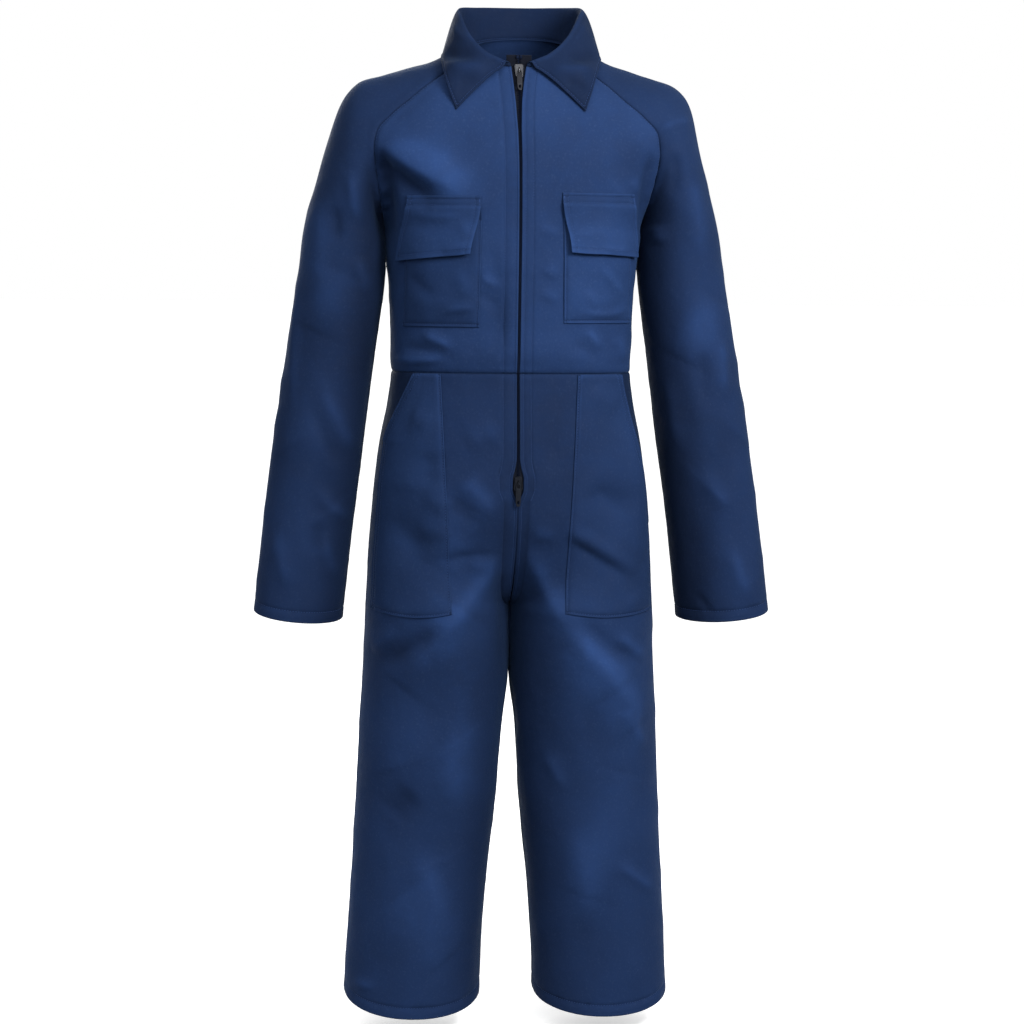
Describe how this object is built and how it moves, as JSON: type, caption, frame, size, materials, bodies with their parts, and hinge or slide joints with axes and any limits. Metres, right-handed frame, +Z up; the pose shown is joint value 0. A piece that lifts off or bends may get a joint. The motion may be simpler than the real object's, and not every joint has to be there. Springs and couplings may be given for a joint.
{
  "type": "child's boiler suit",
  "caption": "Child's long-sleeved boiler suit with a shirt collar, a full-length front zip, flapped chest pockets and slanted hip pockets, in its filled-out worn form.",
  "frame": {"origin": "middle of the neck, level with the top of the shoulders", "axes": "+Z up, -Y the way the front faces, +X towards the wearer's left"},
  "size_m": [0.591, 0.2155, 1.151],
  "materials": {
    "navy_twill": "matt woven twill",
    "navy_twill_pocket": "matt woven twill",
    "zip_tape": "matt woven tape",
    "zip_slider_metal": "satin plated zinc",
    "zip_pull_metal": "dark plated zinc"
  },
  "bodies": {
    "garment": {"front_right": "navy_twill", "front_left": "navy_twill", "back": "navy_twill", "sleeve_right": "navy_twill", "sleeve_left": "navy_twill", "collar": "navy_twill", "leg_front_right": "navy_twill", "leg_front_left": "navy_twill", "leg_back_right": "navy_twill", "leg_back_left": "navy_twill", "chest_pocket_right": "navy_twill_pocket", "chest_pocket_left": "navy_twill_pocket", "chest_flap_right": "navy_twill_pocket", "chest_flap_left": "navy_twill_pocket", "hip_pocket_right": "navy_twill_pocket", "hip_pocket_left": "navy_twill_pocket", "zip_tape_right": "zip_tape", "zip_tape_left": "zip_tape", "zip_slider_top": "zip_slider_metal", "zip_slider_bottom": "zip_slider_metal"},
    "top_pull": {"zip_pull_top": "zip_pull_metal"},
    "bottom_pull": {"zip_pull_bottom": "zip_pull_metal"}
  },
  "joints": [
    {"name": "top_pull_hinge", "type": "hinge", "parent": "garment", "child": "top_pull", "pos_m": [0, -0.07041, -0.00848], "axis": [-1, 0, 0], "range_deg": [0, 150]},
    {"name": "bottom_pull_hinge", "type": "hinge", "parent": "garment", "child": "bottom_pull", "pos_m": [0, -0.10385, -0.46706], "axis": [-1, 0, 0], "range_deg": [0, 150]}
  ]
}
